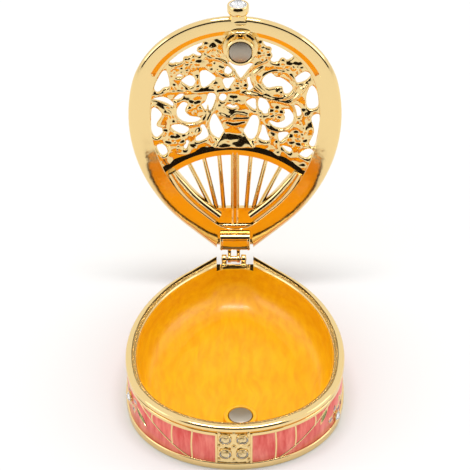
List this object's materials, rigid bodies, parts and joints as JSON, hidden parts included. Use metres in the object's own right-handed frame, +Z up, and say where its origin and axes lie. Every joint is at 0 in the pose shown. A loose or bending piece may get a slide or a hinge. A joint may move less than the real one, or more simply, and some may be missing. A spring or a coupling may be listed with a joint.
{
  "type": "fan trinket box",
  "caption": "Small hinged metal trinket box with an open fan's plan, enamelled tray, openwork floral lid and magnet catch.",
  "frame": {"origin": "on the underside, in line with the middle of the round front's ellipse", "axes": "+X to the right seen from the front, +Y from the round front to the hinge, +Z up"},
  "size_m": [0.0568, 0.0878, 0.0869],
  "materials": {
    "gilt_metal": "polished gilt plating",
    "pin_metal": "drawn brass wire",
    "magnet": "nickel plating",
    "crystal": "clear cut crystal",
    "pink_enamel": "coral pink enamel with pearly streaks",
    "yellow_enamel": "pearly yellow enamel",
    "leaf_enamel": "green enamel",
    "petal_enamel": "lavender enamel"
  },
  "bodies": {
    "box": {"box_body": "gilt_metal", "hinge_pin": "pin_metal", "box_magnet": "magnet", "front_crystal_1": "crystal", "front_crystal_2": "crystal", "front_crystal_3": "crystal", "front_crystal_4": "crystal", "side_crystal_left": "crystal", "side_crystal_right": "crystal"},
    "lid": {"lid": "gilt_metal", "lid_magnet": "magnet", "clasp_crystal": "crystal"}
  },
  "joints": [
    {"name": "lid_hinge", "type": "hinge", "parent": "box", "child": "lid", "pos_m": [-0.0003, 0.0468, 0.0117], "axis": [1, 0, 0], "range_deg": [0, 96.6]}
  ]
}
